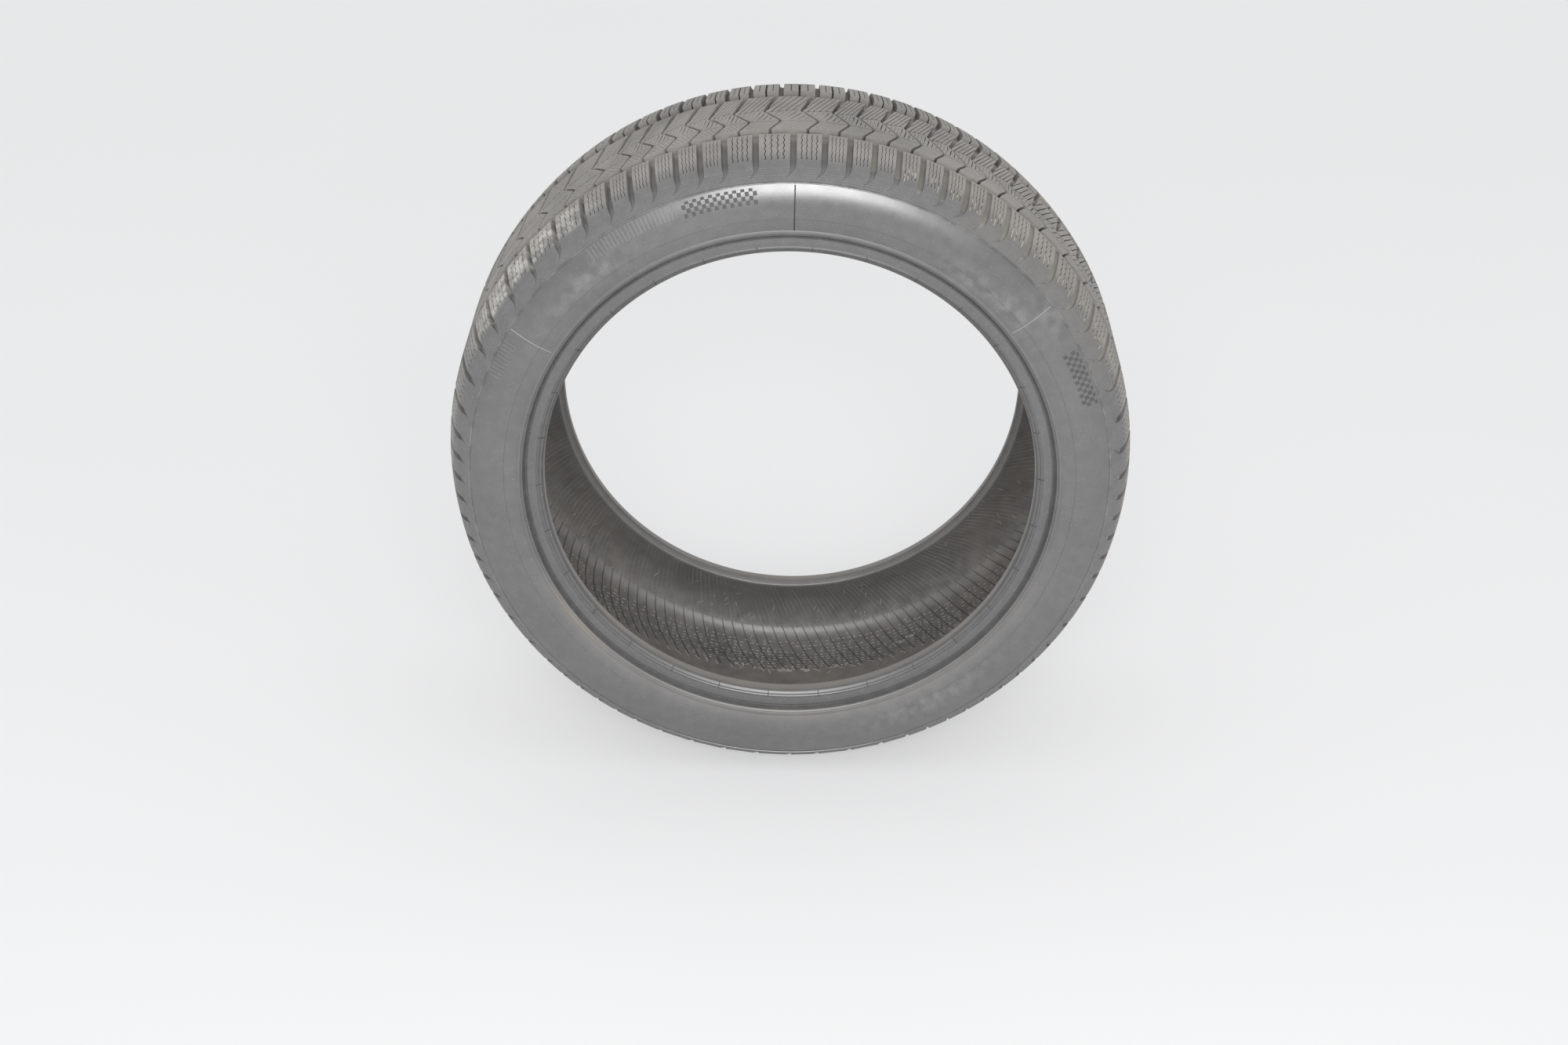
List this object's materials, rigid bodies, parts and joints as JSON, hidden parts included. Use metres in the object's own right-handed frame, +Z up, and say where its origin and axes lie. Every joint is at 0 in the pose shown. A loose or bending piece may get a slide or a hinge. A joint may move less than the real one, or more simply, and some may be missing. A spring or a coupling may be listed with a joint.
{
  "type": "car tyre",
  "caption": "Low-profile winter car tyre, part worn, with grooved and slotted tread, rounded shoulders, smooth sidewalls and a rim protector rib above each bead.",
  "frame": {"origin": "wheel centre, on the axle line midway between the two beads", "axes": "+Y along the axle towards the back of the picture, +Z up, so the tyre stands on its tread at -Z"},
  "size_m": [0.645, 0.2512, 0.6419],
  "materials": {
    "tyre_rubber": "dull, dusty grey rubber with a faint sheen on the sidewalls"
  },
  "bodies": {
    "root": {"tyre": "tyre_rubber"}
  },
  "joints": []
}
